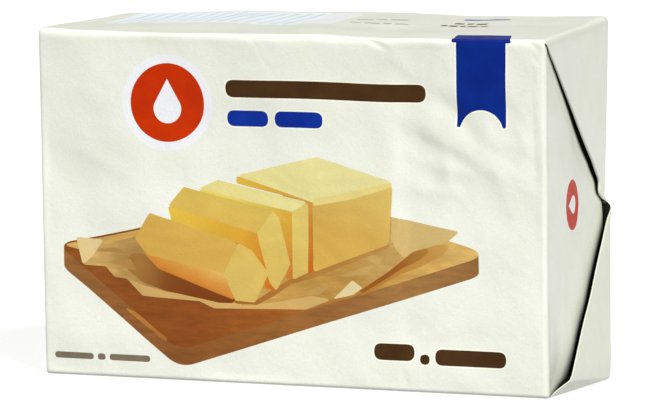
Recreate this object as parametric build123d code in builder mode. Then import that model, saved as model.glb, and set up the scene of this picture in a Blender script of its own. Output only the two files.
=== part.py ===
"""A small block of butter shut in its folded paper wrapper, standing on one long narrow side.

X runs along the block, Y from its front panel to its rear panel, and Z up. The origin is under the middle
of the block, on the face that it rests on. Lengths are in millimetres, angles in degrees.

The sheet runs once round the block, with its two edges joined in a seam along the rear. At each end the front
panel is tucked in first. The top and the bottom fold over it as two pointed ears, and what is left, the tail,
lies back on the rear panel. The paper is shut all round, so the pack is one solid.
"""

import os
from math import cos, radians, sin, tan

from build123d import *

# The block. Its butter has slumped a little, so the rear is taller than the front.
block_length = 74.0
front_height = 48.4
block_depth = 29.7
face_lean = 4.0  # the front and rear panels lean forward
top_rise = 1.6  # the top climbs this much more towards the rear
end_draft = 0.5  # each end runs in towards the rear

# The rounded edges of the block under its paper.
long_edge_radius = 1.5
end_edge_radius = 1.1

# The ends. A point on an end is given by its run, from the front edge rearwards, and its height.
tuck_angle = 3.5  # the tucked panel runs in under the ears
slit_angle = 2.2  # the underside of the ears runs in less, so a slit stays open behind their edges
slit_reach = 2.0  # how far the slit goes in behind the edges
meeting_drop = 1.7  # both ears meet on the rear edge, this far below half the front's height

blunt_inset = 3.5  # the upper ear's edge turns down into its blunt end, this far from the rear edge
blunt_length = 1.9
blunt_rise = 1.7  # of the blunt end, above the meeting point
upper_ear_sink = 1.7  # the upper ear leans in below the top edge

heel_run = 6.0  # the lower ear's edge keeps low along the bottom as far as its heel
heel_height = 1.8
knee_inset = 4.4  # then it climbs to its knee, this far from the rear edge
knee_drop = 3.8  # and this far below the meeting point
lower_ear_flare = 3.2  # the lower ear stands out from the end, more towards the front
foot_slope = 35.0  # and bulges out this steeply above the bottom edge

# The rear panel.
seam_above_middle = 1.0
seam_width = 9.0
seam_thickness = 0.3
tail_length = 15.0
tail_thickness = 0.7
tail_slope = 45.0
tail_margin = 2.0

# Worked out from those sizes. Heights are measured up the leaning panels.
rear_drop = block_depth * tan(radians(face_lean))
rear_rise = block_depth * tan(radians(top_rise))
rear_middle = (front_height + rear_rise - rear_drop) / 2
rear_half_length = block_length / 2 - block_depth * tan(radians(end_draft))
tail_taper = tail_length * tan(radians(tail_slope))
meeting_height = front_height / 2 - meeting_drop
clear = block_depth / 4  # how far a cutting shape reaches past what it cuts

# The panels' directions. The block stands centred over the origin, between its top front edge and its
# bottom rear edge.
front_reach = front_height * sin(radians(face_lean))
rear_reach = block_depth / cos(radians(face_lean))
front_foot = Vector(0, (front_reach - rear_reach) / 2, 0)
rearwards = Vector(0, cos(radians(face_lean)), sin(radians(face_lean)))
section_plane = Plane(origin=front_foot, x_dir=rearwards, z_dir=(1, 0, 0))
upwards = section_plane.y_dir
rear_wall = Plane(origin=front_foot + rearwards * block_depth, x_dir=(-1, 0, 0), z_dir=rearwards)

right_foot = front_foot + Vector(block_length / 2, 0, 0)
end_run = rearwards.rotate(Axis((0, 0, 0), upwards), end_draft)
end_wall = Plane(origin=right_foot, x_dir=end_run, z_dir=end_run.cross(upwards))


def turned_wall(hinge_start, hinge_slope, angle):
    """The end wall, turned about a line on it that starts at a point and climbs rearwards at a slope."""
    hinge_direction = end_run.rotate(Axis((0, 0, 0), end_wall.z_dir), hinge_slope)
    return Plane(
        origin=end_wall.from_local_coords((*hinge_start, 0)),
        x_dir=hinge_direction,
        z_dir=end_wall.z_dir.rotate(Axis((0, 0, 0), hinge_direction), angle),
    )


tuck_wall = turned_wall((0, 0), 90, tuck_angle)
slit_wall = turned_wall((0, 0), 90, slit_angle)
sink_wall = turned_wall((0, front_height), top_rise, upper_ear_sink)
flare_wall = turned_wall((block_depth - end_edge_radius, 0), 90, lower_ear_flare)
foot_wall = turned_wall((0, long_edge_radius), -face_lean, foot_slope)


def draw_lower_edge(back):
    """The lower ear's edge, from the front corner to where the ears meet, moved back by this much."""
    Polyline(
        (0, 0),
        (heel_run + back, heel_height),
        (block_depth - knee_inset + back, meeting_height - knee_drop - back),
        (block_depth, meeting_height),
    )


def draw_opening(back):
    """What the ears leave open of an end, with their edges moved back by this much."""
    blunt_run = block_depth - blunt_inset + back
    draw_lower_edge(back)
    Polyline(
        (block_depth, meeting_height),
        (blunt_run, meeting_height + blunt_rise),
        (blunt_run, meeting_height + blunt_rise + blunt_length + back),
        (0, front_height),
        (-clear, front_height + clear),
        (-clear, -clear),
        (0, 0),
    )


# The room over the upper ear, which leans in. Its lower boundary runs through the opening.
with BuildPart() as upper_ear_room:
    with BuildSketch(end_wall):
        with BuildLine():
            Polyline(
                (0, front_height),
                (block_depth - blunt_inset, meeting_height),
                (block_depth + clear, meeting_height),
                (block_depth + clear, front_height + clear),
                (-clear, front_height + clear),
                close=True,
            )
        make_face()
    extrude(amount=clear, both=True)
    split(bisect_by=sink_wall, keep=Keep.TOP)

# The room over the tucked panel, between the edges of the ears.
with BuildPart() as opening:
    with BuildSketch(end_wall):
        with BuildLine():
            draw_opening(0)
        make_face()
    extrude(amount=clear, both=True)
    split(bisect_by=tuck_wall, keep=Keep.TOP)

# The slit that runs on behind those edges, between the tucked panel and the ears.
with BuildPart() as slit:
    with BuildSketch(end_wall):
        with BuildLine():
            draw_opening(slit_reach)
        make_face()
    extrude(amount=clear, both=True)
    split(bisect_by=tuck_wall, keep=Keep.TOP)
    split(bisect_by=slit_wall, keep=Keep.BOTTOM)

# The lower ear where it stands out from the end.
with BuildPart() as lower_ear:
    with BuildSketch(end_wall):
        with BuildLine():
            draw_lower_edge(0)
            Polyline((block_depth, meeting_height), (block_depth, -rear_drop), (0, 0))
        make_face()
    extrude(amount=clear)
    split(bisect_by=flare_wall, keep=Keep.BOTTOM)
    split(bisect_by=foot_wall, keep=Keep.BOTTOM)

# The tail on the rear panel.
with BuildPart() as tail:
    with BuildSketch(rear_wall):
        with BuildLine():
            Polyline(
                (end_edge_radius - rear_half_length, tail_margin - rear_drop),
                (end_edge_radius - rear_half_length, front_height + rear_rise - tail_margin),
                (tail_length - rear_half_length, front_height + rear_rise - tail_margin - tail_taper),
                (tail_length - rear_half_length, tail_margin + tail_taper - rear_drop),
                close=True,
            )
        make_face()
    extrude(amount=tail_thickness)

with BuildPart() as wrapped_block:
    # The right half of the block.
    with BuildSketch(section_plane):
        with BuildLine():
            Polyline(
                (0, 0),
                (0, front_height),
                (block_depth, front_height + rear_rise),
                (block_depth, -rear_drop),
                close=True,
            )
        make_face()
    extrude(amount=block_length / 2)
    split(bisect_by=end_wall, keep=Keep.BOTTOM)
    fillet(wrapped_block.edges().filter_by(Axis.X), long_edge_radius)
    fillet(wrapped_block.faces().sort_by(Axis.X)[-1].edges(), end_edge_radius)
    # The rear seam, as far as the end.
    with BuildSketch(rear_wall):
        with Locations(((end_edge_radius - rear_half_length) / 2, rear_middle + seam_above_middle)):
            Rectangle(rear_half_length - end_edge_radius, seam_width)
    extrude(amount=seam_thickness)
    # The end's folds.
    add(lower_ear.part)
    add(tail.part)
    add(upper_ear_room.part, mode=Mode.SUBTRACT)
    add(opening.part, mode=Mode.SUBTRACT)
    add(slit.part, mode=Mode.SUBTRACT)
    # The left half is folded as its mirror image.
    mirror(about=Plane.YZ)

os.makedirs("parts", exist_ok=True)
wrapped_block.part.label = "wrapped_block"
export_step(wrapped_block.part, "parts/wrapped_block.step")
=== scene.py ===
"""The looks of a small block of butter shut in its folded paper wrapper.

Every skin is worked out in millimetres on a square-cornered block: x along it, run from its front panel
rearwards and rise from its foot up. box_surface() rounds its edges and leans it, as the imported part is.
"""

from math import asin, ceil, cos, degrees, hypot, pi, radians, sin, tan

import bpy
import numpy as np
from mathutils import Matrix, Vector
from mathutils.geometry import delaunay_2d_cdt


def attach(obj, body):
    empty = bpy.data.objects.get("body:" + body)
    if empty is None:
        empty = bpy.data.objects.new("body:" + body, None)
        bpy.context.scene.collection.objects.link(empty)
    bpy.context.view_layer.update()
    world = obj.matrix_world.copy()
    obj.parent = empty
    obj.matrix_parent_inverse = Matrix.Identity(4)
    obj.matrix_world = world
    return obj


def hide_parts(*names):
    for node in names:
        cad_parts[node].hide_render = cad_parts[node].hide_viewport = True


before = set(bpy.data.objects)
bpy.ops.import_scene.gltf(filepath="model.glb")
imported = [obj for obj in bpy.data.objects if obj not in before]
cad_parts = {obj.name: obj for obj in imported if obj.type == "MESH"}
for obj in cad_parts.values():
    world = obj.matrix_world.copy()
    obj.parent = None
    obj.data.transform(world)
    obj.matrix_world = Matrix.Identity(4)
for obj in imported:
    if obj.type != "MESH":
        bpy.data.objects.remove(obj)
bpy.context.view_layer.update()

MM = 0.001

# Sizes of the block and of the paper folded round it, in millimetres and degrees.
LENGTH = 74.0
HEIGHT = 48.4
DEPTH = 29.7
FACE_LEAN = radians(4.0)
TOP_RISE = radians(1.6)
END_DRAFT = radians(0.5)
TOP_RADIUS = 1.15
FOOT_RADIUS = 0.5
SIDE_RADIUS = 0.9
LEFT_RADIUS = 0.6
RIGHT_RADIUS = 0.65
TUCK_ANGLE = radians(2.9)
EAR_SINK = radians(1.7)
EAR_FLARE = radians(3.2)
FOOT_SLOPE = radians(35.0)
HALF = LENGTH / 2
FRONT_FOOT = (HEIGHT * sin(FACE_LEAN) - DEPTH / cos(FACE_LEAN)) / 2

# The ears' edges on an end, as (run, height) from its front foot.
MEETING = (29.7, 23.1)
UPPER_EDGE = ((0.0, 48.4), (26.9, 26.4), (26.7, 24.7), MEETING)
LOWER_EDGE = ((0.0, 0.0), (6.0, 1.8), (25.3, 18.7), MEETING)
TUCK_REACH = ((0.0, 0.0), (5.0, 0.2), (14.0, 0.1), (29.0, 14.0), (29.0, 33.0), (5.0, 48.1), (0.0, 48.4))
# The tucked end swells along a line, in (run, rise). Under and near the ears it gets painted shade.
TUCK_SWELL_LINE = ((8, 4), (27, 21.5))
TUCK_SWELL_WIDTH = 4.5
TUCK_SWELL = 0.8
PAINTED_SHADE_MARGIN = 3.4
# The ears' edges are folded round this radius, and their undersides reach this far into the slits.
FOLD_RADIUS = 0.13
UPPER_FOLD_EXTRA = 0.06
SLIT_REACH = 4.0
# The outlines of the right tail and of the seam, as (x, rise) on the rear panel.
TAIL = ((HALF - 0.9, 2.0), (HALF - 0.9, 46.2), (HALF - 15.0, 32.5), (HALF - 15.0, 15.5))
TAIL_RADIUS = 0.8
TAIL_THICKNESS = 0.45
SEAM = ((-35.6, 20.0), (35.6, 20.0), (35.6, 29.0), (-35.6, 29.0))
SEAM_RADIUS = 0.3
SEAM_THICKNESS = 0.25


# ---------------------------------------------------------------- the block's surface
def smooth(value, low, high):
    """0 below low, 1 above high, and a soft step between them."""
    part = np.clip((np.asarray(value, float) - low) / (high - low), 0, 1)
    return part * part * (3 - 2 * part)


def squared(run, height):
    """A point at a true height up the leaning panels, as (run, rise) on the square-cornered block."""
    slope = tan(FACE_LEAN) + tan(TOP_RISE)
    return run, (height + run * tan(FACE_LEAN)) / (1 + run * slope / HEIGHT)


MEETING_RISE = squared(*MEETING)[1]


def sway(x, run, rise):
    """How far the soft block is off straight, along each of its three directions."""
    left = smooth(-x, 18, HALF)
    along = 0.08 * np.sin(rise / 13 + 0.6) * np.sin(run / 11 + 0.3) - 0.45 * smooth(-x, 30, HALF)
    inward = 0.13 * np.sin(x / 9.5 + 0.8) * np.cos(rise / 15) + 0.07 * np.sin(x / 3.9 + rise / 8)
    upward = 0.10 * np.sin(x / 8.2 + 2.1) + 0.05 * np.sin(x / 3.3 + 0.5) + 0.04 * np.sin(run / 4.0)
    upward = upward + left * (0.5 - 1.1 * run / DEPTH)
    upward = upward * smooth(rise, 0.5, 30)
    inward = inward * smooth(rise, 0.5, 6)
    return np.stack(np.broadcast_arrays(along, inward, upward), -1)


def box_surface(x, run, rise, push=(0, 0, 0)):
    """World positions of points on the square-cornered block, rounded, pushed off it and leaned."""
    corner = np.stack(np.broadcast_arrays(x, run, rise), -1).astype(float)
    end_radius = np.where(corner[..., 0] < 0, LEFT_RADIUS, RIGHT_RADIUS)
    rise_radius = np.where(corner[..., 2] < HEIGHT / 2, FOOT_RADIUS, TOP_RADIUS)
    radius = np.stack(np.broadcast_arrays(end_radius, SIDE_RADIUS, rise_radius), -1)
    core = np.clip(corner, np.array((-HALF, 0, 0)) + radius, np.array((HALF, DEPTH, HEIGHT)) - radius)
    way = (corner - core) / radius
    way /= np.maximum(np.linalg.norm(way, axis=-1, keepdims=True), 1)
    point = core + way * radius
    pushed = np.stack(np.broadcast_arrays(*push, point[..., 0])[:3], -1)
    point = point + sway(*np.moveaxis(point, -1, 0)) + pushed
    x, run, rise = np.moveaxis(point, -1, 0)
    part = rise / HEIGHT
    height = rise - run * tan(FACE_LEAN) * (1 - part) + run * tan(TOP_RISE) * part
    x = x * (1 - run * tan(END_DRAFT) / HALF)
    y = FRONT_FOOT + run * cos(FACE_LEAN) - height * sin(FACE_LEAN)
    z = run * sin(FACE_LEAN) + height * cos(FACE_LEAN)
    return np.stack((x, y, z), -1) * MM


def spaced(length, step=0.5, fine=0.22, edge=2.0):
    """Places along a length, closer together near its two ends."""
    near = np.linspace(0, edge, round(edge / fine) + 1)
    middle = np.linspace(edge, length - edge, ceil((length - 2 * edge) / step) + 1)
    return np.concatenate((near, middle[1:-1], length - near[::-1]))


X_PLACES = spaced(LENGTH) - HALF
RUN_PLACES = spaced(DEPTH)
RISE_PLACES = spaced(HEIGHT)


# ---------------------------------------------------------------- outlines
def arc(centre, radius, start, end, step=0.22):
    """Points along an arc, in degrees, both ends included."""
    count = max(3, ceil(abs(radians(end - start)) * radius / step))
    turns = np.radians(np.linspace(start, end, count + 1))
    return np.stack((centre[0] + radius * np.cos(turns), centre[1] + radius * np.sin(turns)), -1)


def disc(centre, radius):
    return arc(centre, radius, 0, 360)[:-1]


def rounded(corners, radius, closed=True):
    """A polygon or path whose corners are rounded, by one radius or one radius for each corner."""
    corners = np.array(corners, float)
    count = len(corners)
    radii = np.broadcast_to(radius, count)
    points = []
    for i in range(count):
        here = corners[i]
        if not closed and i in (0, count - 1):
            points.append(here[None])
            continue
        before = corners[i - 1] - here
        after = corners[(i + 1) % count] - here
        room = min(np.linalg.norm(before), np.linalg.norm(after)) * 0.49
        before /= np.linalg.norm(before)
        after /= np.linalg.norm(after)
        half_turn = np.arccos(np.clip(before @ after, -1, 1)) / 2
        cut = min(radii[i] / max(tan(half_turn), 0.05), room)
        steps = max(2, ceil(cut / 0.25))
        part = np.linspace(0, 1, steps + 1)[:, None]
        start = here + before * cut
        end = here + after * cut
        points.append(start * (1 - part) ** 2 + here * 2 * part * (1 - part) + end * part**2)
    return np.concatenate(points)


def bar(left, right, low, high, radius=0.3):
    return rounded(((left, low), (right, low), (right, high), (left, high)), radius)


def row_of_bars(left, low, high, widths, gap):
    """Plain rounded bars side by side, in place of a word."""
    bars = []
    for width in widths:
        bars.append(bar(left, left + width, low, high, min(0.3, width * 0.45)))
        left += width + gap
    return bars


def signed_area(outline):
    x, y = np.asarray(outline, float).T
    return 0.5 * np.sum(x * np.roll(y, -1) - y * np.roll(x, -1))


def anticlockwise(outline):
    return outline[::-1] if signed_area(outline) < 0 else outline


def grown(outline, amount):
    """An outline moved outwards by this much."""
    before = np.roll(outline, 1, 0)
    after = np.roll(outline, -1, 0)
    along = after - before
    along /= np.maximum(np.linalg.norm(along, axis=1, keepdims=True), 1e-9)
    sign = 1 if signed_area(outline) > 0 else -1
    return outline + sign * amount * np.stack((along[:, 1], -along[:, 0]), -1)


def inside(points, outline):
    """Which points lie inside an outline."""
    x, y = points.T
    held = np.zeros(len(points), bool)
    for (x0, y0), (x1, y1) in zip(outline, np.roll(outline, -1, 0)):
        if y0 != y1:
            crosses = (y0 > y) != (y1 > y)
            held ^= crosses & (x < x0 + (y - y0) * (x1 - x0) / (y1 - y0))
    return held


def distance_to_segment(u, v, start, end):
    """How far points are from a segment, to its left as positive, and how far along it, from 0 to 1."""
    du, dv = end[0] - start[0], end[1] - start[1]
    length = hypot(du, dv)
    part = np.clip(((u - start[0]) * du + (v - start[1]) * dv) / length**2, 0, 1)
    off = np.hypot(u - start[0] - part * du, v - start[1] - part * dv)
    side = np.sign((v - start[1]) * du - (u - start[0]) * dv)
    return off * side, part


# ---------------------------------------------------------------- relief
def ridge(u, v, start, end, width, height):
    """A fold that stands up (or sinks in) along a segment and fades at both its ends."""
    off, part = distance_to_segment(u, v, start, end)
    return height * np.exp(-((off / width) ** 2)) * np.sin(pi * np.clip(part, 0.02, 0.98)) ** 0.7


def step_fold(u, v, start, end, width, height):
    """A fold with one side higher than the other, which fades away from it."""
    off, part = distance_to_segment(u, v, start, end)
    return height * np.tanh(off / width) * np.exp(-((off / width / 3) ** 2)) * np.sin(pi * part)


def make_waves(seed, count, longest, shortest, height):
    """Shallow ripples in random directions: rows of (u wave number, v wave number, phase, height)."""
    draw = np.random.default_rng(seed)
    lengths = np.geomspace(longest, shortest, count)
    turns = draw.uniform(0, pi, count)
    phases = draw.uniform(0, 2 * pi, count)
    heights = height * (lengths / longest) ** 1.1
    along = 2 * pi / lengths * np.cos(turns)
    across = 2 * pi / lengths * np.sin(turns)
    return np.stack((along, across, phases, heights), -1)


def ripple(u, v, waves):
    total = np.zeros(np.broadcast(u, v).shape)
    for along, across, phase, height in waves:
        total += height * np.sin(along * u + across * v + phase)
    return total


def crumple(u, v, waves):
    """Ripples with sharp crests, as stiff paper has."""
    total = np.zeros(np.broadcast(u, v).shape)
    for along, across, phase, height in waves:
        warp = 0.8 * np.sin(0.6 * across * u - 0.5 * along * v + phase)
        total += height * (1 - 2 * np.abs(np.sin((along * u + across * v + phase + warp) / 2)))
    return total


def scattered_folds(seed, count, low, high, lengths, turns, widths, height):
    """Short random folds in a rectangle: a list of (start, end, width, height)."""
    draw = np.random.default_rng(seed)
    folds = []
    for _ in range(count):
        centre = draw.uniform(low, high)
        half = draw.uniform(*lengths) / 2
        turn = radians(draw.uniform(*turns))
        reach = np.array((cos(turn), sin(turn))) * half
        folds.append((centre - reach, centre + reach, draw.uniform(*widths), height * draw.uniform(-1, 1)))
    return folds


# Seed, how many, longest, shortest and height of the waves.
SOFT_WAVES = make_waves(3, 8, 30, 7, 0.10)
CRUMPLE_WAVES = make_waves(11, 9, 14, 2.6, 0.045)
# Seed, how many, the rectangle's corners, lengths, turns, widths and height of the folds.
FRONT_FOLDS = (
    scattered_folds(5, 26, (15, 24), (35, 43), (4, 12), (-50, -22), (0.6, 1.5), 0.07)
    + scattered_folds(6, 16, (-34, 4), (34, 46), (2, 8), (-70, 60), (0.4, 1.0), 0.035)
    + scattered_folds(8, 10, (31, 6), (36.2, 47), (1, 4), (-60, 40), (0.25, 0.5), 0.07)
)
# Folds given one by one: start, end, width and height.
CREASE_LINES = (
    ((17.0, 42.6), (27.0, 36.0), 1.7, -0.17),
    ((15.5, 38.6), (34.5, 28.6), 1.7, 0.20),
    ((17.5, 35.4), (27.0, 31.0), 0.9, -0.09),
    ((17.0, 32.4), (28.0, 29.6), 0.9, 0.09),
    ((16.8, 28.2), (26.5, 27.4), 0.9, 0.08),
    ((27.0, 36.0), (35.0, 33.4), 1.4, 0.08),
    ((35.1, 48.4), (35.3, 27.5), 0.8, -0.10),
    ((33.0, 28.8), (35.4, 29.3), 0.28, -0.09),
    ((35.0, 46.4), (36.3, 45.2), 0.25, -0.07),
    ((-31.5, 31.6), (-22.5, 28.0), 1.2, 0.07),
    ((-33.0, 40.0), (-25.5, 38.5), 1.4, 0.05),
    ((-3.8, 45.2), (-1.6, 42.6), 0.22, -0.05),
    ((16.5, 3.4), (16.5, 0.1), 0.3, -0.08),
    ((28.2, 7.7), (32.5, 7.9), 0.3, -0.04),
    ((20.0, 8.5), (29.0, 10.5), 1.4, 0.06),
)
# One side of the front panel lies deeper than the other along this fold.
UPRIGHT_FOLD = ((16.0, 47), (16.4, 0.5), 1.3, -0.24)
# Nicks in the front panel's top edge, laid out as if the top were unfolded above it.
EDGE_NICKS = (
    ((-6.2, 49.2), (-4.0, 46.2), 0.25, -0.10),
    ((-5.0, 49.2), (-3.4, 46.8), 0.2, -0.07),
    ((11.6, 48.2), (14.8, 46.8), 0.45, -0.22),
    ((4.0, 48.6), (8.0, 47.8), 0.5, -0.10),
    ((34.2, 48.4), (36.4, 46.8), 0.4, -0.12),
)
TOP_FOLDS = scattered_folds(9, 16, (-35, 2), (35, 28), (3, 14), (-30, 30), (0.6, 1.6), 0.06)
REAR_FOLDS = scattered_folds(10, 34, (-33, 3), (33, 46), (4, 14), (-80, 80), (0.5, 1.5), 0.09)
END_FOLDS = scattered_folds(12, 14, (2, 4), (27, 44), (3, 10), (-80, 80), (0.5, 1.2), 0.04)


def folded(u, v, folds):
    return sum(ridge(u, v, *fold) for fold in folds)


def edge_fade(x, v, length, reach=1.6):
    """1 inside a panel, falling to 0 at its borders, where it has to meet its neighbours."""
    near_ends = np.minimum(x + HALF, HALF - x)
    near_sides = np.minimum(v, length - v)
    return smooth(near_ends, 0, reach) * smooth(near_sides, 0, reach)


def front_relief(x, rise):
    """How far the front panel stands out of the flat."""
    relief = ripple(x, rise, SOFT_WAVES) + 0.35 * crumple(x, rise, CRUMPLE_WAVES)
    wrinkled = smooth(x, 10, 20) * smooth(rise, 18, 28)
    relief = relief + wrinkled * 1.15 * crumple(x, rise, CRUMPLE_WAVES)
    relief = relief + folded(x, rise, FRONT_FOLDS) + 1.4 * folded(x, rise, CREASE_LINES)
    relief = relief + step_fold(x, rise, *UPRIGHT_FOLD)
    return relief * edge_fade(x, rise, HEIGHT)


def front_edge_relief(x, rise):
    """How far the nicks stand out, on the front panel and on the top unfolded above it."""
    return folded(x, rise, EDGE_NICKS)


def top_relief(x, run):
    relief = 0.8 * ripple(x + 7, run - 3, SOFT_WAVES) + 0.5 * crumple(x, run, CRUMPLE_WAVES)
    return (relief + folded(x, run, TOP_FOLDS)) * edge_fade(x, run, DEPTH)


def bottom_relief(x, run):
    relief = 0.3 * crumple(x + 3, run, CRUMPLE_WAVES) - 0.25
    return relief * edge_fade(x, run, DEPTH, 4)


def rear_relief(x, rise):
    relief = ripple(x - 5, rise + 2, SOFT_WAVES) + 0.6 * crumple(x + 9, rise, CRUMPLE_WAVES)
    return (relief + folded(x, rise, REAR_FOLDS)) * edge_fade(x, rise, HEIGHT)


def end_relief(run, rise, side):
    relief = 0.5 * ripple(run + 3 * side, rise, SOFT_WAVES) + 0.35 * crumple(run, rise + side, CRUMPLE_WAVES)
    return relief + folded(run, rise if side > 0 else HEIGHT - rise, END_FOLDS)


def rear_edge_out(rise):
    """How far an end's rear fold stands out: it sinks down to where the ears meet, and jumps out there."""
    tip = 0.2 * np.exp(-((rise - MEETING_RISE + 0.9) ** 2))
    return tip - tan(EAR_SINK) * (HEIGHT - rise) * smooth(rise, MEETING_RISE - 0.6, MEETING_RISE + 0.7)


def tuck_out(run, rise, side):
    """The tucked panel runs in rearwards, is slack in its middle, and swells along the lower slit."""
    slack = -0.06 * np.sin(pi * np.clip(run / 26, 0, 1)) * np.sin(pi * rise / HEIGHT)
    off, _ = distance_to_segment(run, rise, *TUCK_SWELL_LINE)
    swell = TUCK_SWELL * np.exp(-((off / TUCK_SWELL_WIDTH) ** 2)) * smooth(run, 4, 12)
    slack = slack + swell - 0.12 * smooth(rise, 26, 32) * smooth(run, 0.3, 1.5)
    relief = smooth(run, 0, 2.5) * end_relief(run, rise, side) * smooth(rise, 0, 2)
    return -tan(TUCK_ANGLE) * run - 0.12 * smooth(run, 0.3, 2.2) + slack + relief


def upper_ear_out(run, rise, side):
    at_rear = smooth(run, 27.5, DEPTH)
    sink = -tan(EAR_SINK) * (HEIGHT - rise) * (1 - at_rear) + rear_edge_out(rise) * at_rear
    lift = 0.06 * smooth(run, 0.3, 3) * smooth(HEIGHT - rise, 0.3, 3) * smooth(DEPTH - run, 0, 2.5)
    fade = smooth(HEIGHT - rise, 0, 3) * smooth(DEPTH - run, 0, 3)
    return sink + lift + 0.7 * fade * end_relief(run, rise, side)


def lower_ear_out(run, rise, side):
    from_rear = tan(EAR_FLARE) * np.maximum(DEPTH - 1.1 - run, 0)
    from_foot = tan(FOOT_SLOPE) * np.maximum(rise - 0.2, 0)
    lift = 0.22 * smooth(rise, 0.3, 3) * smooth(DEPTH - run, 0, 1.2)
    fade = smooth(rise, 0, 3) * smooth(DEPTH - run, 0, 3)
    relief = 0.7 * fade * end_relief(run, rise, side)
    return np.minimum(from_rear, from_foot) + lift + relief + rear_edge_out(rise)


# ---------------------------------------------------------------- skins
class Skin:
    """One piece of the wrapper: flat places, positions, triangles and a material for each triangle."""

    def __init__(self, name, flat, positions, triangles, finishes):
        self.name = name
        self.flat = flat
        self.positions = positions
        self.triangles = triangles
        self.finishes = finishes
        self.shade = None


skins = []


def cut_up(points, border, prints=(), bare="paper"):
    """Triangles that fill a border, with corners at the points and edges along the outlines of prints.

    Returns the flat places, the triangles and their finishes. A triangle has the finish of the last print
    that holds it, or the bare one."""
    places = [tuple(map(float, point)) for point in points]
    rings = []
    for outline in [border] + [outline for _, outline in prints]:
        outline = anticlockwise(np.asarray(outline, float))
        rings.append(list(range(len(places), len(places) + len(outline))))
        places.extend(tuple(map(float, point)) for point in outline)
    corners = [Vector(place) for place in places]
    flat, _, faces, sources, _, owners = delaunay_2d_cdt(corners, [], rings, 0, 1e-5, True)
    flat = np.array([places[source[0]] if source else tuple(place) for place, source in zip(flat, sources)])
    held = [(face, max(owner)) for face, owner in zip(faces, owners) if 0 in owner]
    inks = [bare] + [finish for finish, _ in prints]
    return flat, np.array([face for face, _ in held]), [inks[holder] for _, holder in held]


def grid(u_places, v_places):
    u, v = np.meshgrid(u_places, v_places, indexing="ij")
    return np.stack((u.ravel(), v.ravel()), -1)


def dense(outline, step=0.35):
    """An outline with points no further apart than a step."""
    points = []
    for here, after in zip(outline, np.roll(outline, -1, 0)):
        count = max(1, ceil(np.linalg.norm(after - here) / step))
        points += [here + (after - here) * i / count for i in range(count)]
    return np.array(points)


def facing(positions, triangles):
    """The way that triangles face, all together."""
    a, b, c = (positions[triangles[:, i]] for i in range(3))
    return np.cross(b - a, c - a).sum(0)


def keep(skin, outward):
    """Adds a skin to the wrapper, with its triangles turned to face outwards."""
    if facing(skin.positions, skin.triangles) @ np.array(outward) < 0:
        skin.triangles = skin.triangles[:, ::-1]
    skins.append(skin)


def nearest(places, points):
    """For each point, the number of the place nearest to it."""
    return np.array([np.argmin(np.linalg.norm(places - point, axis=1)) for point in points])


def joined_rows(edge, first, rows, closed):
    """Triangles that join an edge to the rows of points that follow it, which are numbered on from first."""
    count = len(edge)
    triangles = []
    previous = edge
    for row in range(rows):
        current = np.arange(count) + first + row * count
        for i in range(count if closed else count - 1):
            j = (i + 1) % count
            triangles.append((previous[i], previous[j], current[j]))
            triangles.append((previous[i], current[j], current[i]))
        previous = current
    return np.array(triangles)


def add_panel(name, v_places, place, outward, prints=()):
    """A panel as long as the block, with its prints. place() turns flat places into positions."""
    low = (X_PLACES[0], v_places[0])
    high = (X_PLACES[-1], v_places[-1])
    border = (low, (high[0], low[1]), high, (low[0], high[1]))
    prints = [(finish, dense(outline)) for finish, outline in prints]
    flat, triangles, finishes = cut_up(grid(X_PLACES, v_places), border, prints)
    keep(Skin(name, flat, place(flat[:, 0], flat[:, 1]), triangles, finishes), outward)


def front_place(x, rise):
    return box_surface(x, 0, rise, (0, -front_relief(x, rise) - front_edge_relief(x, rise), 0))


def top_place(x, run):
    nick = front_edge_relief(x, HEIGHT + run)
    return box_surface(x, run, HEIGHT, (0, -nick, top_relief(x, run)))


def bottom_place(x, run):
    return box_surface(x, run, 0, (0, 0, -bottom_relief(x, run)))


def rear_slide(x, rise):
    """How far the rear panel's ends follow the rear edges of the end folds."""
    return np.sign(x) * rear_edge_out(rise) * smooth(np.abs(x), HALF - 9, HALF)


def rear_place(x, rise):
    return box_surface(x, DEPTH, rise, (rear_slide(x, rise), rear_relief(x, rise), 0))


def end_place(side, out):
    """A place() for an end, on the right for side 1 and on the left for side -1."""
    return lambda run, rise: box_surface(side * HALF, run, rise, (side * out(run, rise, side), 0, 0))


def add_tuck(name, side):
    """The part of an end that is tucked in first and lies under both ears."""
    border = np.array([squared(*point) for point in TUCK_REACH])
    points = grid(RUN_PLACES, RISE_PLACES)
    points = points[inside(points, border) | (points[:, 0] == 0)]
    prints = end_prints() if side > 0 else []
    flat, triangles, finishes = cut_up(points, border, prints)
    # Near and under the ears the tucked paper has painted shade, made darker by the shade attribute.
    open_to_view = inside(flat[triangles].mean(1), opening_outline(-PAINTED_SHADE_MARGIN))
    for i in np.flatnonzero(~open_to_view):
        if finishes[i] == "paper":
            finishes[i] = "tucked_paper"
    skin = Skin(name, flat, end_place(side, tuck_out)(*flat.T), triangles, finishes)
    under_lower = smooth(depth_under(flat, LOWER_PATH), -0.8, 2.8)
    under_upper = smooth(depth_under(flat, UPPER_PATH), -1.4, -0.4)
    skin.shade = np.maximum(under_lower, under_upper)
    keep(skin, (side, 0, 0))


def depth_under(points, path):
    """How far points on an end lie rearwards of an ear's edge."""
    order = np.argsort(path[:, 1])
    return points[:, 0] - np.interp(points[:, 1], path[order, 1], path[order, 0], left=99, right=99)


def edge_path(corners, radii):
    """An ear's edge, from the front corner to where the ears meet, with points about 0.3 mm apart."""
    path = rounded([squared(*corner) for corner in corners], radii, closed=False)
    lengths = np.concatenate(((0,), np.cumsum(np.linalg.norm(np.diff(path, axis=0), axis=1))))
    places = np.linspace(0, lengths[-1], ceil(lengths[-1] / 0.3) + 1)
    return np.stack((np.interp(places, lengths, path[:, 0]), np.interp(places, lengths, path[:, 1])), -1)


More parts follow.
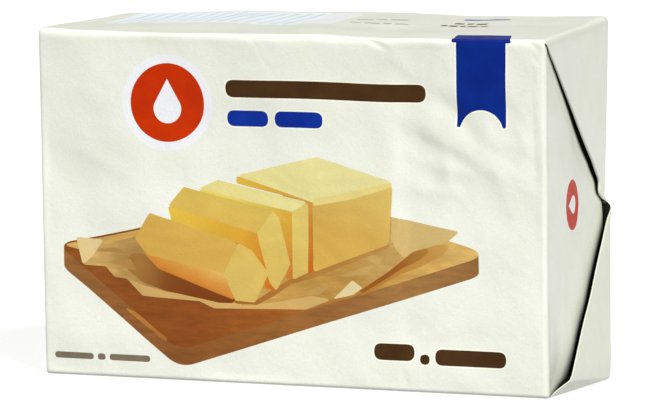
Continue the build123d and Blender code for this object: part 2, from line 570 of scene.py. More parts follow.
UPPER_PATH = edge_path(UPPER_EDGE, (0, 1.3, 0.9, 0))
LOWER_PATH = edge_path(LOWER_EDGE, (0, 4.0, 3.0, 0))
# How near the grid comes to an ear's edge, the rows of points round its fold and along its underside, and
# how many of those rows are paper, before the dark rows of painted shade start.
EDGE_GAP = 0.22
FOLD_ROWS = 6
UNDERSIDE_ROWS = 8
PAPER_ROWS = 5
# The spacing of the grid in a sheet on the rear.
SLAB_STEP = 0.5


def opening_outline(back):
    """What the ears leave open of an end, with their edges moved back by this much."""
    moved = np.concatenate((LOWER_PATH, UPPER_PATH[::-1])) + np.array((back, 0))
    return np.concatenate((moved, np.array(((-1.0, HEIGHT + 1), (-1.0, -1.0)))))


def ear_places(path, corner):
    """An ear's outline on its end, and the grid's places that it holds."""
    border = np.concatenate((path, np.array([(DEPTH, corner)])))
    points = grid(RUN_PLACES, RISE_PLACES)
    held = inside(points, border)
    gap = np.min(np.linalg.norm(points[:, None] - path[None, ::2], axis=2), axis=1)
    same_half = (points[:, 1] - MEETING_RISE) * (corner - MEETING_RISE) > 0
    on_border = (points[:, 1] == corner) | ((points[:, 0] == DEPTH) & same_half)
    return border, points[(held & (gap > EDGE_GAP)) | on_border]


def inward_ways(path, corner):
    """At each point of an ear's edge, the way square to the edge that leads into the ear."""
    along = np.gradient(path, axis=0)
    along /= np.linalg.norm(along, axis=1, keepdims=True)
    inward = np.stack((-along[:, 1], along[:, 0]), -1)
    middle = len(path) // 2
    if inward[middle] @ (np.array((DEPTH, corner)) - path[middle]) < 0:
        inward = -inward
    return inward


def ear_rows(side, path, corner, out):
    """Rows of points on from an ear's edge: round its tight fold, then along its underside into the slit.

    Returns their flat places and their positions."""
    run, rise = path.T
    inward = inward_ways(path, corner)
    radius = FOLD_RADIUS + UPPER_FOLD_EXTRA * (corner > 0)
    radius = radius * (0.12 + 0.88 * smooth(run, 0, 3)) * (0.3 + 0.7 * smooth(DEPTH - run, 0, 1.5))
    level = out(run, rise, side)
    rows = []
    for turn in np.linspace(0, pi, FOLD_ROWS + 1)[1:]:
        at = path - inward * (radius * sin(turn))[:, None]
        rows.append((path - inward * (0.35 * turn), at, level - radius * (1 - cos(turn))))
    for part in np.linspace(0, 1, UNDERSIDE_ROWS + 1)[1:]:
        at = path + inward * (SLIT_REACH * part * smooth(DEPTH + 0.5 - run, 0, 4))[:, None]
        at = np.stack((np.clip(at[:, 0], 0.05, DEPTH - 0.4), np.clip(at[:, 1], 0.3, HEIGHT - 0.3)), -1)
        tuck = tuck_out(at[:, 0], at[:, 1], side) - 0.12
        under = np.minimum(level, out(at[:, 0], at[:, 1], side)) - 2 * radius
        rows.append((path - inward * (1.1 + 3.0 * part), at, under * (1 - part**3) + tuck * part**3))
    positions = [box_surface(side * HALF, *at.T, (side * drop, 0, 0)) for _, at, drop in rows]
    return [flat for flat, _, _ in rows], positions


def add_ear(name, side, path, corner, out):
    """A folded ear: its skin, the tight fold along its edge, and its underside, which closes the slit."""
    border, points = ear_places(path, corner)
    # The lower ears' paper is painted a little darker, as painted shade.
    paper = "paper" if corner > 0 else "low_paper"
    flat, triangles, finishes = cut_up(points, border, bare=paper)
    keep(Skin(name, flat, end_place(side, out)(*flat.T), triangles, finishes), (side, 0, 0))
    skin = skins[-1]
    row_flats, row_positions = ear_rows(side, path, corner, out)
    strips = joined_rows(nearest(flat, path), len(flat), len(row_flats), closed=False)
    in_a_row = 2 * (len(path) - 1)
    skin.flat = np.concatenate([flat] + row_flats)
    skin.positions = np.concatenate([skin.positions] + row_positions)
    # The strips continue the skin, so the first row of them faces outwards with it.
    if side * facing(skin.positions, strips[:in_a_row])[0] < 0:
        strips = strips[:, ::-1]
    skin.triangles = np.concatenate((skin.triangles, strips))
    skin.finishes += [paper] * (PAPER_ROWS * in_a_row)
    # The underside's deeper rows are dark as painted shade in the slit.
    skin.finishes += ["lining"] * (len(strips) - PAPER_ROWS * in_a_row)


def add_slab(name, outline, thickness, relief):
    """A sheet lying on the rear panel, with a rounded rim that ends inside what it lies on."""
    outline = anticlockwise(dense(outline))
    low = outline.min(0) + SLAB_STEP / 2
    high = outline.max(0)
    points = grid(np.arange(low[0], high[0], SLAB_STEP), np.arange(low[1], high[1], SLAB_STEP))
    gap = np.min(np.linalg.norm(points[:, None] - outline[None], axis=2), axis=1)
    flat, triangles, _ = cut_up(points[inside(points, outline) & (gap > 0.2)], outline)
    lift = thickness + relief(*flat.T)
    rim = nearest(flat, outline)
    radius = min(0.12, thickness / 2)
    rows = [(radius * sin(turn), radius * (1 - cos(turn))) for turn in np.linspace(0, pi / 2, 4)[1:]]
    rows.append((radius, thickness + 0.35))
    flats = [flat]
    positions = [rear_sheet_place(*flat.T, lift)]
    for shift, drop in rows:
        positions.append(rear_sheet_place(*grown(outline, shift).T, lift[rim] - drop))
        flats.append(grown(outline, 0.6 * shift / radius + 0.5 * drop))
    strips = joined_rows(rim, len(flat), len(rows), closed=True)[:, ::-1]
    triangles = np.concatenate((triangles, strips))
    finishes = ["paper"] * len(triangles)
    keep(Skin(name, np.concatenate(flats), np.concatenate(positions), triangles, finishes), (0, 1, 0))


def rear_sheet_place(x, rise, lift):
    return box_surface(x, DEPTH, rise, (rear_slide(x, rise), lift + 0.8 * rear_relief(x, rise), 0))


def tail_relief(x, rise):
    away = smooth(HALF - np.abs(x), 4, 15)
    return 0.12 * away + 0.05 * np.sin(rise / 3.1 + x / 6) + 0.6 * folded(x, rise, REAR_FOLDS)


def seam_relief(x, rise):
    return 0.05 * np.sin(x / 2.3 + 0.4 * np.sin(x / 7)) * smooth(rise, 20, 24) + 0.03 * np.sin(rise * 2.2)


# ---------------------------------------------------------------- prints
# The ribbon and its band on the front panel, and how far the band runs over the top.
RIBBON_LEFT = 24.35
RIBBON_RIGHT = 31.35
RIBBON_TIP = 36.5
RIBBON_ARCH = 3.15
RIBBON_DROP = 0.8
BAND_LEFT = 23.7
BAND_RIGHT = 32.0
BAND_FOOT = 48.0
BAND_RUN = 4.2
DISC = (-17.9, 38.75)
DISC_RADIUS = 5.45
HALO_RADIUS = 6.7
END_DISC = (14.1, 24.6)
END_DISC_RADIUS = 3.4
END_HALO_RADIUS = END_DISC_RADIUS + 0.35
OUTLINE = 0.22


def ribbon_front(grow):
    """The ribbon's front part, with its arched foot, from the top edge down."""
    left, right = RIBBON_LEFT - grow, RIBBON_RIGHT + grow
    middle = (left + right) / 2
    foot = RIBBON_TIP - grow
    low = asin(RIBBON_DROP / RIBBON_ARCH)
    arch = arc((middle, foot - RIBBON_DROP), RIBBON_ARCH, degrees(low), 180 - degrees(low))
    right_tip = ((right, HEIGHT), (right, foot + 0.2), (right - 0.1, foot))
    left_tip = ((left + 0.1, foot), (left, foot + 0.2), (left, HEIGHT))
    return np.concatenate((right_tip, arch, left_tip))


def ribbon_band(left, right, foot):
    """The front part of the ribbon's band, up to the top edge."""
    left_side = ((left, HEIGHT), (left, foot + 0.2), (left + 0.2, foot))
    right_side = ((right - 0.2, foot), (right, foot + 0.2), (right, HEIGHT))
    return np.array(left_side + right_side)


def drop_shape(centre, size, turn=0):
    """A plain drop: a round foot and a point."""
    foot = arc((0, -0.25 * size), 0.62 * size, 160, 380, 0.15)
    shape = np.concatenate((foot, ((0.0, 1.0 * size),)))
    c, s = cos(radians(turn)), sin(radians(turn))
    return np.array(centre) + shape @ np.array(((c, s), (-s, c)))


def outlined(finish, shapes):
    """Shapes with a thin pale outline under them."""
    under = [("pale_print", grown(shape, OUTLINE)) for shape in shapes]
    return under + [(finish, shape) for shape in shapes]


# The printed picture, in flat tones: a board, and on it what PICTURE lists in drawing order, a sheet of
# parchment, a block of butter and three slices. Each row has a finish, the radius of corners, and corners.
BOARD_TOP = ((-34.9, 18.3), (2.0, 27.0), (28.95, 19.35), (-16.7, 4.25))
BOARD_RADII = (1.2, 0, 1.1, 4.4)
BOARD_THICKNESS = 2.5
PICTURE = (
    ("board_light", 0.8, ((-34.2, 18.2), (-19.0, 21.8), (-18.0, 20.0), (-31.0, 17.6))),
    ("board_glint", 0.2, ((-25.0, 10.0), (-23.2, 9.3), (-18.4, 5.8), (-18.7, 5.4), (-24.2, 9.2))),
    ("board_shade", 0.8, (
        (10.2, 12.8), (12.8, 14.4), (16.2, 16.3), (18.8, 17.3), (22.2, 19.0), (23.4, 20.6), (17.9, 20.2),
        (10.0, 14.2),
    )),
    ("board_deep_shade", 0.6, (
        (10.4, 13.3), (13.2, 15.0), (16.6, 17.2), (18.9, 18.3), (20.6, 19.8), (17.9, 20.2), (10.0, 14.2),
    )),
    ("parchment", 0.6, (
        (-32.1, 19.4), (-28.0, 19.3), (-27.8, 18.7), (-23.0, 20.0), (0.0, 23.5), (14.9, 24.1),
        (19.7, 23.2), (24.6, 22.3), (22.9, 20.9), (17.9, 19.4), (14.6, 16.7), (10.6, 14.0), (6.1, 12.3),
        (2.1, 10.7), (-11.3, 10.4), (-13.5, 11.3), (-22.2, 11.7), (-24.6, 14.0), (-26.5, 14.2),
        (-27.8, 15.6), (-31.2, 15.6),
    )),
    ("pale_parchment", 0.3, (
        (14.9, 24.1), (19.7, 23.2), (24.6, 22.3), (22.9, 20.9), (17.9, 19.4), (16.6, 18.5), (15.6, 19.6),
        (14.9, 21.0),
    )),
    ("pale_parchment", 0.3, (
        (-24.6, 14.0), (-22.2, 11.7), (-13.5, 11.3), (-11.3, 10.4), (2.1, 10.7), (6.1, 12.3),
        (3.0, 12.6), (-2.0, 11.6), (-7.0, 11.0), (-12.0, 12.0), (-18.5, 12.4), (-22.0, 13.2),
    )),
    ("folded_parchment", 0.3, ((-32.1, 19.4), (-28.0, 19.3), (-29.7, 16.9), (-31.2, 15.6))),
    ("folded_parchment", 0.15, ((6.1, 12.3), (9.1, 15.1), (10.6, 14.1), (9.2, 13.1))),
    ("shaded_parchment", 1.0, (
        (-24.0, 17.6), (-21.4, 17.6), (-19.6, 15.9), (-8.2, 12.0), (-8.4, 11.2), (-10.5, 11.2),
        (-13.5, 11.7), (-18.4, 12.5), (-22.2, 13.6), (-24.6, 15.4),
    )),
    ("creased_parchment", 0.4, ((-30.0, 17.6), (-23.5, 17.6), (-26.5, 18.3))),
    ("creased_parchment", 0.4, ((-27.6, 16.3), (-22.8, 15.0), (-24.0, 16.9))),
    ("creased_parchment", 0.4, ((6.6, 15.4), (12.6, 17.6), (11.2, 16.0))),
    ("creased_parchment", 0.4, ((0.0, 12.6), (6.4, 14.6), (4.2, 12.9))),
    ("creased_parchment", 0.4, ((10.8, 18.2), (13.8, 18.4), (13.0, 17.4))),
    ("parchment_contact", 0.4, (
        (-8.4, 12.0), (-5.3, 11.6), (-2.6, 13.4), (0.2, 15.0), (3.3, 16.2), (14.5, 20.6), (14.7, 19.9),
        (3.6, 15.2), (0.0, 14.1), (-2.4, 12.5), (-5.0, 11.1), (-8.3, 11.2),
    )),
    ("butter_cut", 0.3, (
        (-7.9, 28.9), (3.5, 25.6), (3.4, 15.9), (2.4, 15.7), (2.6, 24.8), (1.1, 25.9), (-7.8, 27.8),
    )),
    ("butter_front", (0.3, 1.1, 0.6, 0.3), ((3.4, 25.7), (15.2, 29.0), (14.5, 20.3), (3.3, 15.9))),
    ("butter_top", (0.3, 0.6, 0.3, 0.3), ((-7.9, 28.9), (4.3, 31.8), (15.2, 28.9), (3.4, 25.5))),
    ("butter_edge", (0.3, 0.3, 0.9, 0.3, 0.3, 0.3), (
        (3.5, 25.9), (9.5, 27.4), (15.0, 28.9), (15.0, 28.2), (9.5, 26.3), (3.6, 25.0),
    )),
    ("slice_cut", 0.2, (
        (-13.5, 26.9), (0.4, 24.2), (0.3, 14.8), (-1.0, 14.9), (-0.1, 16.9), (-1.7, 23.3), (-12.8, 26.1),
    )),
    ("slice_end", 0.3, ((0.3, 24.1), (2.8, 25.5), (2.5, 15.8), (0.2, 14.7))),
    ("butter_top", 0.3, ((-13.6, 26.9), (-10.6, 28.2), (2.8, 25.5), (0.3, 24.1))),
    ("slice_gap", 0.2, (
        (-18.0, 24.4), (-4.8, 21.1), (-3.6, 16.5), (-2.2, 13.1), (-3.7, 13.4), (-5.4, 17.6),
        (-7.6, 19.6), (-17.5, 22.3),
    )),
    ("slice_end", 0.3, (
        (-4.9, 21.0), (-2.5, 24.2), (-1.7, 23.3), (-0.1, 16.9), (-2.2, 13.1), (-3.2, 14.3), (-4.4, 18.8),
    )),
    ("slice_top", 0.3, ((-18.0, 24.4), (-15.7, 27.1), (-2.5, 24.2), (-4.9, 21.0))),
    ("slice_side", 0.3, ((-22.9, 19.6), (-9.8, 15.5), (-8.2, 11.6), (-19.7, 15.6), (-21.6, 17.5))),
    ("slice_end", 0.4, (
        (-7.7, 19.6), (-5.7, 18.6), (-3.3, 15.5), (-5.3, 11.4), (-8.2, 11.6), (-9.9, 15.3),
    )),
    ("slice_top", (0.3, 0.3, 0.8, 0.8, 0.5), (
        (-23.2, 19.7), (-20.8, 23.4), (-7.6, 19.6), (-9.9, 15.3), (-21.2, 17.5),
    )),
)


def turns_right(first, second, third):
    return (second[0] - first[0]) * (third[1] - first[1]) <= (second[1] - first[1]) * (third[0] - first[0])


def hull(points):
    """The outline of a rubber band round points."""
    points = sorted(map(tuple, points))
    outline = []
    for line in (points, points[::-1]):
        chain = []
        for x, y in line:
            while len(chain) > 1 and turns_right(chain[-2], chain[-1], (x, y)):
                chain.pop()
            chain.append((x, y))
        outline += chain[:-1]
    return np.array(outline)


def picture():
    board_top = rounded(BOARD_TOP, BOARD_RADII)
    board_side = hull(np.concatenate((board_top, board_top - (0, BOARD_THICKNESS))))
    shapes = [("board_side", board_side), ("board_top", board_top)]
    return shapes + [(finish, rounded(corners, radius)) for finish, radius, corners in PICTURE]


# Plain bars in place of the words on the front: an ink, and for each bar left, right, low, high and radius.
FRONT_BARS = (
    ("brown_print", ((-9.2, 19.9, 39.7, 42.1, 1.2),)),
    ("blue_print", ((-9.1, -2.9, 35.7, 37.9, 1.1), (-1.9, 5.2, 35.7, 37.9, 1.1))),
    ("brown_print", ((12.1, 17.9, 4.3, 6.6, 1.1), (18.7, 20.1, 3.9, 5.3, 0.7), (20.9, 31.1, 3.9, 6.1, 1.1))),
)
SMALL_BARS = ((-35.4, -29.8, 2.4, 3.3, 0.4), (-29.2, -28.0, 2.4, 3.3, 0.4), (-27.4, -21.2, 2.4, 3.3, 0.4))
# And on the top: an ink, where the row starts, its near and far side, the bars' widths, and the gaps.
TOP_BARS = (
    ("faint_print", 3.4, 15.3, 16.1, (1.6, 2.4, 1.2, 2.0), 0.5),
    ("faint_print", 3.0, 19.2, 20.2, (2.4, 1.4, 2.6), 0.6),
    ("brown_print", 16.6, 16.0, 17.2, (0.9, 1.3, 0.8, 1.5, 1.1), 0.3),
    ("brown_print", 17.6, 19.0, 20.2, (1.4, 1.0, 1.6), 0.4),
)
# Slanting stripes on the grey field: how many, where the first one starts, how far apart, and their shape.
STRIPES = 14
FIRST_STRIPE = -32.4
STRIPE_SPACING = 2.0
STRIPE = ((0, 14.0), (0.9, 14.0), (2.1, 26.8), (1.2, 26.8))


def front_prints():
    prints = [("halo", disc(DISC, HALO_RADIUS)), ("red_print", disc(DISC, DISC_RADIUS))]
    prints += [("halo", drop_shape(DISC, 3.3))]
    for ink, bars in FRONT_BARS:
        prints += outlined(ink, [bar(*sizes) for sizes in bars])
    prints += [("grey_print", bar(*sizes)) for sizes in SMALL_BARS]
    prints += picture()
    prints += [("pale_print", ribbon_front(OUTLINE)), ("ribbon_print", ribbon_front(0))]
    prints += [("ribbon_dark", ribbon_band(BAND_LEFT, BAND_RIGHT, BAND_FOOT))]
    return prints


def top_prints():
    rear_left, rear_right = BAND_LEFT - 0.4, BAND_RIGHT - 1.1
    band = ((BAND_LEFT, 0.0), (BAND_RIGHT, 0.0), (rear_right, BAND_RUN), (rear_left, BAND_RUN))
    prints = [("ribbon_dark", np.array(band))]
    prints += [("halo", bar(-3.5, 1.6, 14.0, 27.0, 1.5))]
    prints += [("grey_field", bar(-33.2, -3.5, 13.0, 27.8, 1.5))]
    for i in range(STRIPES):
        prints.append(("grey_stripe", np.array(STRIPE) + (FIRST_STRIPE + STRIPE_SPACING * i, 0)))
    for ink, left, near, far, widths, gap in TOP_BARS:
        prints += [(ink, shape) for shape in row_of_bars(left, near, far, widths, gap)]
    prints += [("blue_print", bar(17.4, 24.2, 23.6, 24.8))]
    return prints


def end_prints():
    centre = squared(*END_DISC)
    prints = [("halo", disc(centre, END_HALO_RADIUS)), ("red_print", disc(centre, END_DISC_RADIUS))]
    return prints + [("halo", drop_shape(centre, 2.0, 90))]


# ---------------------------------------------------------------- materials
def rgb(red, green, blue):
    """A colour as it is seen, 0 to 255, for a shader."""
    seen = (red / 255, green / 255, blue / 255)
    return tuple(v / 12.92 if v <= 0.04045 else ((v + 0.055) / 1.055) ** 2.4 for v in seen) + (1.0,)


def feed(tree, inputs, values):
    """Sets a node's inputs to values, or links them to other nodes' sockets."""
    for key, value in values.items():
        if isinstance(value, bpy.types.NodeSocket):
            tree.links.new(value, inputs[key])
        else:
            inputs[key].default_value = value


def add_node(tree, kind, inputs, **settings):
    node = tree.nodes.new(kind)
    for key, value in settings.items():
        setattr(node, key, value)
    feed(tree, node.inputs, inputs)
    return node


def noise(tree, coords, scale, detail=2.0, roughness=0.5, distortion=0.0):
    shape = {"Scale": scale, "Detail": detail, "Roughness": roughness, "Distortion": distortion}
    return add_node(tree, "ShaderNodeTexNoise", {"Vector": coords, **shape}).outputs["Fac"]


def mixed(tree, factor, first, second, blend="MIX"):
    inputs = {0: factor, 6: first, 7: second}
    return add_node(tree, "ShaderNodeMix", inputs, data_type="RGBA", blend_type=blend).outputs[2]


def ranged(tree, value, low, high, to_low, to_high):
    inputs = {"Value": value, "From Min": low, "From Max": high, "To Min": to_low, "To Max": to_high}
    return add_node(tree, "ShaderNodeMapRange", inputs).outputs["Result"]


PRINT_ROUGHNESS = 0.4
PRINT_GLOSS = 0.06
DOT_CONTRAST = 0.06


def new_material(name, inputs):
    """A material, its node tree and its shader with these inputs."""
    material = bpy.data.materials.new(name)
    material.use_nodes = True
    tree = material.node_tree
    shader = tree.nodes["Principled BSDF"]
    feed(tree, shader.inputs, inputs)
    return material, tree, shader


def start_material(name, roughness, gloss, coat=0.0):
    """What all papers and inks share: their gloss, a little wear, and the paper's grain and crinkles."""
    look = {"Specular IOR Level": gloss, "Coat Weight": coat, "Coat Roughness": 0.27}
    material, tree, shader = new_material(name, look)
    coords = add_node(tree, "ShaderNodeTexCoord", {}).outputs["Object"]
    wear = noise(tree, coords, 700, 3)
    worn = ranged(tree, wear, 0.3, 0.7, roughness - 0.05, roughness + 0.06)
    grain = noise(tree, coords, 2600, 3, 0.6)
    crinkle = noise(tree, coords, 420, 4, 0.55, 0.6)
    fine = add_node(tree, "ShaderNodeBump", {"Strength": 0.22, "Distance": 0.00012, "Height": grain})
    over = {"Strength": 0.17, "Distance": 0.0004, "Height": crinkle, "Normal": fine.outputs["Normal"]}
    coarse = add_node(tree, "ShaderNodeBump", over)
    feed(tree, shader.inputs, {"Roughness": worn, "Normal": coarse.outputs["Normal"]})
    return material, tree, shader, coords


def plain(name, colour, second, roughness=PRINT_ROUGHNESS, scale=160, gloss=PRINT_GLOSS, coat=0.0):
    """Paper or ink whose colour drifts a little between two tones."""
    material, tree, shader, coords = start_material(name, roughness, gloss, coat)
    drift = ranged(tree, noise(tree, coords, scale, 3), 0.35, 0.65, 0, 1)
    shade = mixed(tree, drift, colour, second)
    speckle = ranged(tree, noise(tree, coords, 5200, 1), 0.3, 0.7, 0.96, 1.03)
    tree.links.new(mixed(tree, 1.0, shade, speckle, "MULTIPLY"), shader.inputs["Base Color"])
    return material


def shaded_paper(name, colour, deep):
    """Paper with painted shade: dark towards the depth of a fold, by its shade attribute."""
    material, tree, shader, _ = start_material(name, 0.4, 0.3)
    shade = add_node(tree, "ShaderNodeAttribute", {}, attribute_name="shade").outputs["Fac"]
    tree.links.new(mixed(tree, shade, colour, deep), shader.inputs["Base Color"])
    return material


def toned(name, start, end, streak, stops):
    """Ink whose tone changes from one place on the front panel to another, in halftone dots.

    Streaks, if any, run at an angle in degrees."""
    material, tree, shader, coords = start_material(name, PRINT_ROUGHNESS, PRINT_GLOSS)
    x0, z0, x1, z1 = (value * MM for value in (*start, *end))
    reach = hypot(x1 - x0, z1 - z0)
    toward = ((x1 - x0) / reach, 0.0, (z1 - z0) / reach)
    product = add_node(tree, "ShaderNodeVectorMath", {0: coords, 1: toward}, operation="DOT_PRODUCT")
    offset = (x0 * (x1 - x0) + z0 * (z1 - z0)) / reach
    part = ranged(tree, product.outputs["Value"], offset, offset + reach, 0, 1)
    cloud = ranged(tree, noise(tree, coords, 260, 3), 0, 1, -0.12, 0.12)
    part = add_node(tree, "ShaderNodeMath", {0: part, 1: cloud}, operation="ADD").outputs["Value"]
    ramp = add_node(tree, "ShaderNodeValToRGB", {"Fac": part})
    elements = ramp.color_ramp.elements
    elements[0].position, elements[0].color = 0.0, stops[0]
    elements[1].position, elements[1].color = 1.0, stops[-1]
    for i, colour in enumerate(stops[1:-1], 1):
        elements.new(i / (len(stops) - 1)).color = colour
    colour = ramp.outputs["Color"]
    if streak:
        stretch = {"Vector": coords, "Scale": (1.0, 1.0, 5.0), "Rotation": (0.0, radians(streak), 0.0)}
        stretched = add_node(tree, "ShaderNodeMapping", stretch)
        lines = ranged(tree, noise(tree, stretched.outputs["Vector"], 260, 4, 0.6), 0.3, 0.7, 0.80, 1.12)
        colour = mixed(tree, 1.0, colour, lines, "MULTIPLY")
    cells = add_node(tree, "ShaderNodeTexVoronoi", {"Vector": coords, "Scale": 4200.0, "Randomness": 0.3})
    dots = ranged(tree, cells.outputs["Distance"], 0.1, 0.7, 1 - DOT_CONTRAST, 1 + DOT_CONTRAST)
    tree.links.new(mixed(tree, 1.0, colour, dots, "MULTIPLY"), shader.inputs["Base Color"])
    return material


PAPER_LOOK = {"roughness": 0.36, "gloss": 0.6, "coat": 0.45}
INK = {"scale": 300}
SMOOTH_INK = {"roughness": 0.36, "scale": 300}
# For each even finish: its material's name, the two colours it drifts between, and its look.
EVEN_FINISHES = {
    "paper": ("white_wrapper_paper", (229, 230, 220), (225, 227, 214), PAPER_LOOK),
    # The ears' undersides deep in the slits: near-black painted shade.
    "lining": ("painted_shade_in_the_folds", (34, 38, 28), (24, 28, 20), {"roughness": 0.7}),
    "halo": ("cool_white_print", (233, 233, 236), (230, 230, 234), {"gloss": 0.5, "coat": 0.3}),
    "pale_print": ("cream_print", (244, 242, 226), (240, 238, 222), {}),
    "red_print": ("orange_red_ink", (195, 49, 0), (187, 44, 0), SMOOTH_INK),
    "brown_print": ("brown_ink", (72, 47, 23), (63, 40, 18), INK),
    "grey_print": ("thin_brown_ink", (128, 116, 98), (112, 100, 82), INK),
    "faint_print": ("faint_grey_ink", (168, 162, 148), (152, 146, 132), INK),
    # The lower ears' paper, darker as painted shade.
    "low_paper": ("wrapper_paper_with_painted_shade_near_the_foot", (220, 222, 204), (216, 218, 199), PAPER_LOOK),
    "blue_print": ("blue_ink", (12, 50, 154), (8, 40, 142), SMOOTH_INK),
    "ribbon_print": ("deep_blue_ink", (7, 42, 134), (6, 36, 124), SMOOTH_INK),
    "ribbon_dark": ("darker_blue_ink", (10, 36, 124), (8, 28, 108), SMOOTH_INK),
    "grey_field": ("pale_grey_blue_print", (220, 226, 229), (214, 221, 225), {}),
    "grey_stripe": ("grey_blue_ink", (204, 212, 219), (192, 202, 210), {}),
}
# For each toned finish: where its run of tones starts and ends, the angle of its streaks, and the tones.
TONED_FINISHES = {
    "board_top": ((-30, 13), (28, 19), -17, (
        (136, 76, 30), (134, 71, 27), (152, 88, 34), (190, 140, 68), (211, 175, 102),
    )),
    "board_light": ((-34, 18), (-20, 21), -17, ((202, 160, 90), (195, 152, 76))),
    "board_shade": ((12, 15), (23, 20), None, ((170, 116, 48), (176, 126, 58), (192, 148, 76))),
    "board_deep_shade": ((12, 15), (20, 20), None, ((146, 84, 26), (144, 86, 32), (170, 120, 54))),
    "board_glint": ((-25, 9), (-19, 5), -17, ((178, 122, 56), (160, 102, 46))),
    "board_side": ((-34, 9), (28, 9), -17, (
        (142, 95, 51), (136, 86, 44), (138, 84, 40), (141, 90, 43), (152, 102, 54), (156, 113, 63),
        (144, 101, 56),
    )),
    "parchment": ((-30, 17), (20, 21), -20, (
        (195, 160, 96), (154, 108, 54), (192, 149, 77), (180, 136, 66), (194, 160, 98),
    )),
    "pale_parchment": ((-24, 12), (20, 21), None, ((196, 158, 96), (200, 162, 96), (197, 170, 110))),
    "folded_parchment": ((-32, 17), (10, 14), None, ((212, 188, 134), (218, 201, 152))),
    "shaded_parchment": ((-23, 16), (-14, 13), None, ((156, 110, 54), (124, 70, 27), (116, 58, 18))),
    "parchment_contact": ((-8, 11), (14, 20), None, ((150, 92, 36), (170, 118, 56), (176, 130, 66))),
    "creased_parchment": ((-28, 15), (20, 22), None, ((168, 126, 68), (176, 134, 70), (196, 164, 102))),
    "butter_edge": ((4, 25), (15, 29), None, ((223, 206, 128), (220, 202, 126))),
    "butter_top": ((-12, 26), (12, 30), None, ((219, 204, 130), (226, 216, 149), (221, 210, 148))),
    "butter_front": ((5, 16), (10, 28), None, ((207, 167, 78), (203, 163, 78), (211, 180, 98))),
    "butter_cut": ((3, 17), (-6, 29), None, ((186, 98, 26), (206, 150, 60), (216, 176, 64))),
    "slice_top": ((-16, 17), (-14, 26), None, ((203, 161, 75), (205, 165, 78), (205, 175, 84))),
    "slice_end": ((-5, 12), (-2, 24), None, ((203, 172, 92), (207, 177, 90), (216, 192, 106))),
    "slice_side": ((-14, 12.8), (-12.6, 16.6), None, ((190, 104, 32), (201, 138, 58), (213, 176, 96))),
    "slice_cut": ((0, 15), (-8, 26), None, ((192, 116, 44), (208, 162, 58), (219, 198, 90))),
    "slice_gap": ((-3, 13), (-16, 24), None, ((191, 100, 27), (206, 154, 50), (213, 178, 64))),
}


def make_materials():
    """The material of every finish."""
    # The tucked ends' paper, with painted shade mixed in by its shade attribute.
    made = {"tucked_paper": shaded_paper("tucked_paper", rgb(226, 228, 213), rgb(26, 30, 20))}
    for finish, (name, colour, second, look) in EVEN_FINISHES.items():
        made[finish] = plain(name, rgb(*colour), rgb(*second), **look)
    for finish, (start, end, streak, stops) in TONED_FINISHES.items():
        made[finish] = toned(finish + "_print", start, end, streak, [rgb(*stop) for stop in stops])
    return made


# ---------------------------------------------------------------- pieces
def add_object(name, data):
    thing = bpy.data.objects.new(name, data)
    bpy.context.scene.collection.objects.link(thing)
    return thing


def shared_normals():
    """Normals of all skins together, so that shading runs on from one skin to the next."""
    positions = np.concatenate([skin.positions for skin in skins])
    starts = np.cumsum([0] + [len(skin.positions) for skin in skins])
    triangles = np.concatenate([skin.triangles + start for skin, start in zip(skins, starts)])
    _, same = np.unique(np.round(positions / 2e-8).astype(np.int64), axis=0, return_inverse=True)
    same = same.ravel()
    a, b, c = (positions[triangles[:, i]] for i in range(3))
    ways = np.cross(b - a, c - a)
    total = np.zeros((same.max() + 1, 3))
    for i in range(3):
        np.add.at(total, same[triangles[:, i]], ways)
    normals = total[same]
    normals /= np.maximum(np.linalg.norm(normals, axis=1, keepdims=True), 1e-20)
    return [normals[start : start + len(skin.positions)] for skin, start in zip(skins, starts)]


def add_piece(skin, normals, materials):
    mesh = bpy.data.meshes.new(skin.name)
    mesh.from_pydata(skin.positions.tolist(), [], skin.triangles.tolist())
    names = sorted(set(skin.finishes))
    for name in names:
        mesh.materials.append(materials[name])
    mesh.polygons.foreach_set("material_index", [names.index(finish) for finish in skin.finishes])
    mesh.polygons.foreach_set("use_smooth", [True] * len(mesh.polygons))
    low = skin.flat.min(0)
    flat = (skin.flat - low) / (skin.flat.max(0) - low) * 0.98 + 0.01
    layer = mesh.uv_layers.new(name="OFBake")
    corners = np.zeros(len(mesh.loops), int)
    mesh.loops.foreach_get("vertex_index", corners)
    layer.data.foreach_set("uv", flat[corners].ravel())
    if skin.shade is not None:
        shade = mesh.attributes.new("shade", "FLOAT", "POINT")
        shade.data.foreach_set("value", skin.shade.astype(np.float32))
    mesh.normals_split_custom_set_from_vertices(normals.tolist())
    mesh.update()
    piece = add_object(skin.name, mesh)
    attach(piece, "root")
    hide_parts("wrapped_block")


def build_wrapper():
    add_panel("front_panel", RISE_PLACES, front_place, (0, -1, 0), front_prints())
    add_panel("top_panel", RUN_PLACES, top_place, (0, 0, 1), top_prints())
    add_panel("bottom_panel", RUN_PLACES, bottom_place, (0, 0, -1))
    add_panel("rear_panel", RISE_PLACES, rear_place, (0, 1, 0))
    for side, name in ((1, "right"), (-1, "left")):
        add_tuck(name + "_tucked_end", side)
        add_ear(name + "_upper_ear", side, UPPER_PATH, HEIGHT, upper_ear_out)
        add_ear(name + "_lower_ear", side, LOWER_PATH, 0.0, lower_ear_out)
        tail = rounded(np.array(TAIL) * (side, 1), TAIL_RADIUS)
        add_slab(name + "_tail", tail, TAIL_THICKNESS, tail_relief)
    add_slab("rear_seam", rounded(SEAM, SEAM_RADIUS), SEAM_THICKNESS, seam_relief)


# ---------------------------------------------------------------- the scene
def way_to(azimuth, elevation):
    """The way that leads to something seen from the block. Azimuth 0 is in front of it, 90 on its right."""
    return Vector((sin(azimuth) * cos(elevation), -cos(azimuth) * cos(elevation), sin(elevation)))


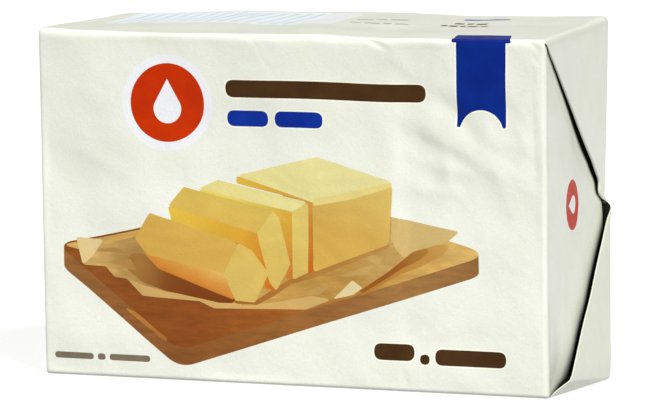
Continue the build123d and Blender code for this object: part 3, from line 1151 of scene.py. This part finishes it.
def add_camera():
    """The camera of the fit to the photo. Its places are in millimetres."""
    azimuth = radians(21.09)
    elevation = radians(3.484)
    roll = radians(0.605)
    distance = 559.33
    target = Vector((4.57, -13.198, 25.20))
    back = way_to(azimuth, elevation)
    right = Vector((cos(azimuth), sin(azimuth), 0))
    up = back.cross(right)
    across = cos(roll) * right + sin(roll) * up
    upright = cos(roll) * up - sin(roll) * right
    data = bpy.data.cameras.new("camera")
    data.sensor_width = 36.0
    data.lens = 226.54
    data.clip_start = 0.01
    data.clip_end = 100.0
    camera = add_object("camera", data)
    turn = Matrix((across, upright, back)).transposed().to_4x4()
    camera.matrix_world = Matrix.Translation((target + back * distance) * MM) @ turn
    bpy.context.scene.camera = camera


def add_area_light(name, place, target, size, power, colour=(1.0, 1.0, 1.0), seen=True):
    """A rectangular light, in metres and watts, which camera and glossy rays meet only if it is seen."""
    data = bpy.data.lights.new(name, "AREA")
    data.shape = "RECTANGLE"
    data.size, data.size_y = size
    data.energy = power
    data.color = colour
    light = add_object(name, data)
    light.location = place
    light.rotation_euler = (Vector(target) - Vector(place)).to_track_quat("-Z", "Y").to_euler()
    light.visible_camera = seen
    light.visible_glossy = seen


def add_sun(name, azimuth, elevation, spread, strength, glossy=True):
    """Light from far away, by angles in degrees."""
    data = bpy.data.lights.new(name, "SUN")
    data.angle = radians(spread)
    data.energy = strength
    light = add_object(name, data)
    toward = way_to(radians(azimuth), radians(elevation))
    light.rotation_euler = (-toward).to_track_quat("-Z", "Y").to_euler()
    light.visible_glossy = glossy


FLOOR_REACH = 14.0


def add_floor():
    """A pale floor that glows a little, and lights nothing, as diffuse rays don't meet it."""
    mesh = bpy.data.meshes.new("floor")
    corners = [(x * FLOOR_REACH, y * FLOOR_REACH, 0) for x, y in ((-1, -1), (1, -1), (1, 1), (-1, 1))]
    mesh.from_pydata(corners, [], [(0, 1, 2, 3)])
    look = {
        "Base Color": (0.38, 0.38, 0.38, 1),
        "Roughness": 0.7,
        "Specular IOR Level": 0.2,
        "Emission Color": (1.0, 1.0, 1.0, 1),
        "Emission Strength": 0.70,
    }
    material, _, _ = new_material("pale_floor", look)
    mesh.materials.append(material)
    floor = add_object("floor", mesh)
    floor.visible_diffuse = False


def add_world(strength):
    world = bpy.data.worlds.new("studio")
    world.use_nodes = True
    background = world.node_tree.nodes["Background"]
    background.inputs["Color"].default_value = (0.98, 1.0, 0.90, 1)
    background.inputs["Strength"].default_value = strength
    bpy.context.scene.world = world


add_camera()
build_wrapper()
MATERIALS = make_materials()
for skin, normals in zip(skins, shared_normals()):
    add_piece(skin, normals, MATERIALS)
add_floor()
add_world(0.35)
add_sun("key_light", azimuth=40, elevation=40, spread=8, strength=3.35)
add_area_light(
    "table_bounce", (0.008, -0.064, 0.006), (0.008, -0.016, 0.004), (0.12, 0.01), 0.0075,
    colour=(1.0, 1.0, 1.04), seen=False,
)
add_area_light("overhead_strip", (-0.2, -0.05, 0.52), (0.0, -0.01, 0.05), (0.06, 0.5), 0.6)
add_area_light(
    "left_panel", (-0.22, -0.60, 0.46), (0.0, 0.0, 0.02), (0.6, 0.32), 0.22, colour=(0.95, 0.98, 1.35)
)
add_sun("rear_fill", azimuth=212, elevation=3, spread=30, strength=2.3, glossy=False)
bpy.context.scene.view_settings.view_transform = "Standard"
